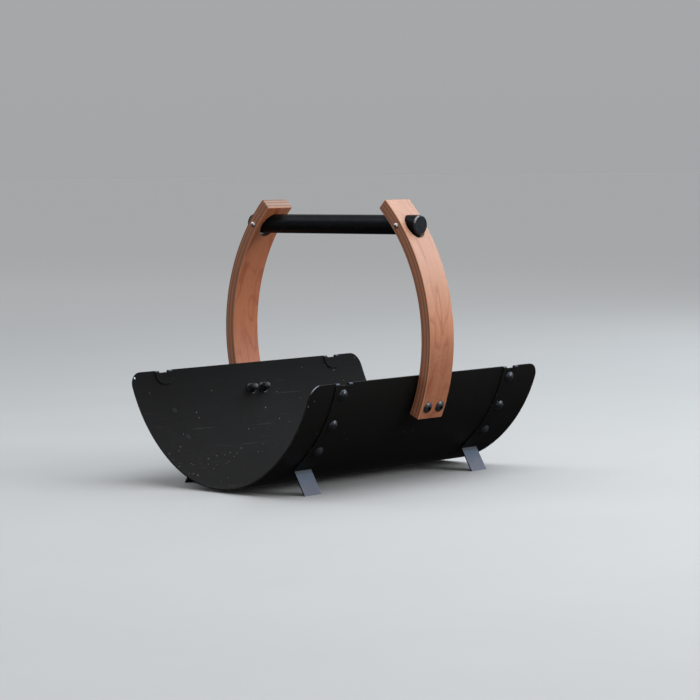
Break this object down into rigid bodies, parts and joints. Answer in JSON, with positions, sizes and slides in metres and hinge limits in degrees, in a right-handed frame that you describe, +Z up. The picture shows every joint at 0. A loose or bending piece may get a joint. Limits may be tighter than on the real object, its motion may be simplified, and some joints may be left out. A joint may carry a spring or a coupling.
{
  "type": "firewood log rack",
  "caption": "Curved black sheet-steel firewood trough on riveted strap legs, with bent plywood arms and a round black handle bar.",
  "frame": {"origin": "on the floor, under the middle of the rack's footprint", "axes": "+Z up; Y runs along the trough, with the end that shows the log ends at -Y; X runs across it, along the handle bar; +X is the right side"},
  "size_m": [0.4408, 0.515, 0.4323],
  "materials": {
    "powder_coat_black": "fine-textured satin black powder coat",
    "rivet_black": "black coated rivet heads, a little shinier than the straps",
    "laminated_wood": "bent plywood, reddish-brown oiled veneer with darker ply lines on the edges",
    "rubber_black": "matte moulded rubber",
    "bolt_black": "black-oxide steel, satin",
    "nut_black": "black-oxide steel, satin",
    "handle_black": "smooth satin black coated tube",
    "plug_black": "satin black turned plug",
    "zinc": "bright zinc plated screw"
  },
  "bodies": {
    "root": {"arm_bolt_back_left": "bolt_black", "arm_bolt_back_right": "bolt_black", "arm_bolt_front_left": "bolt_black", "arm_bolt_front_right": "bolt_black", "arm_left": "laminated_wood", "arm_pad_left": "rubber_black", "arm_pad_right": "rubber_black", "arm_right": "laminated_wood", "cap_nut_back_left": "nut_black", "cap_nut_back_right": "nut_black", "cap_nut_front_left": "nut_black", "cap_nut_front_right": "nut_black", "handle_plug_left": "plug_black", "handle_plug_right": "plug_black", "handle_tube": "handle_black", "leg_strap_back_left": "powder_coat_black", "leg_strap_back_right": "powder_coat_black", "leg_strap_front_left": "powder_coat_black", "leg_strap_front_right": "powder_coat_black", "lock_screw_left": "zinc", "lock_screw_right": "zinc", "rivet_back_left_1": "rivet_black", "rivet_back_left_2": "rivet_black", "rivet_back_left_3": "rivet_black", "rivet_back_right_1": "rivet_black", "rivet_back_right_2": "rivet_black", "rivet_back_right_3": "rivet_black", "rivet_front_left_1": "rivet_black", "rivet_front_left_2": "rivet_black", "rivet_front_left_3": "rivet_black", "rivet_front_right_1": "rivet_black", "rivet_front_right_2": "rivet_black", "rivet_front_right_3": "rivet_black", "saddle_washer_back_left": "nut_black", "saddle_washer_back_right": "nut_black", "saddle_washer_front_left": "nut_black", "saddle_washer_front_right": "nut_black", "trough_shell": "powder_coat_black"}
  },
  "joints": []
}
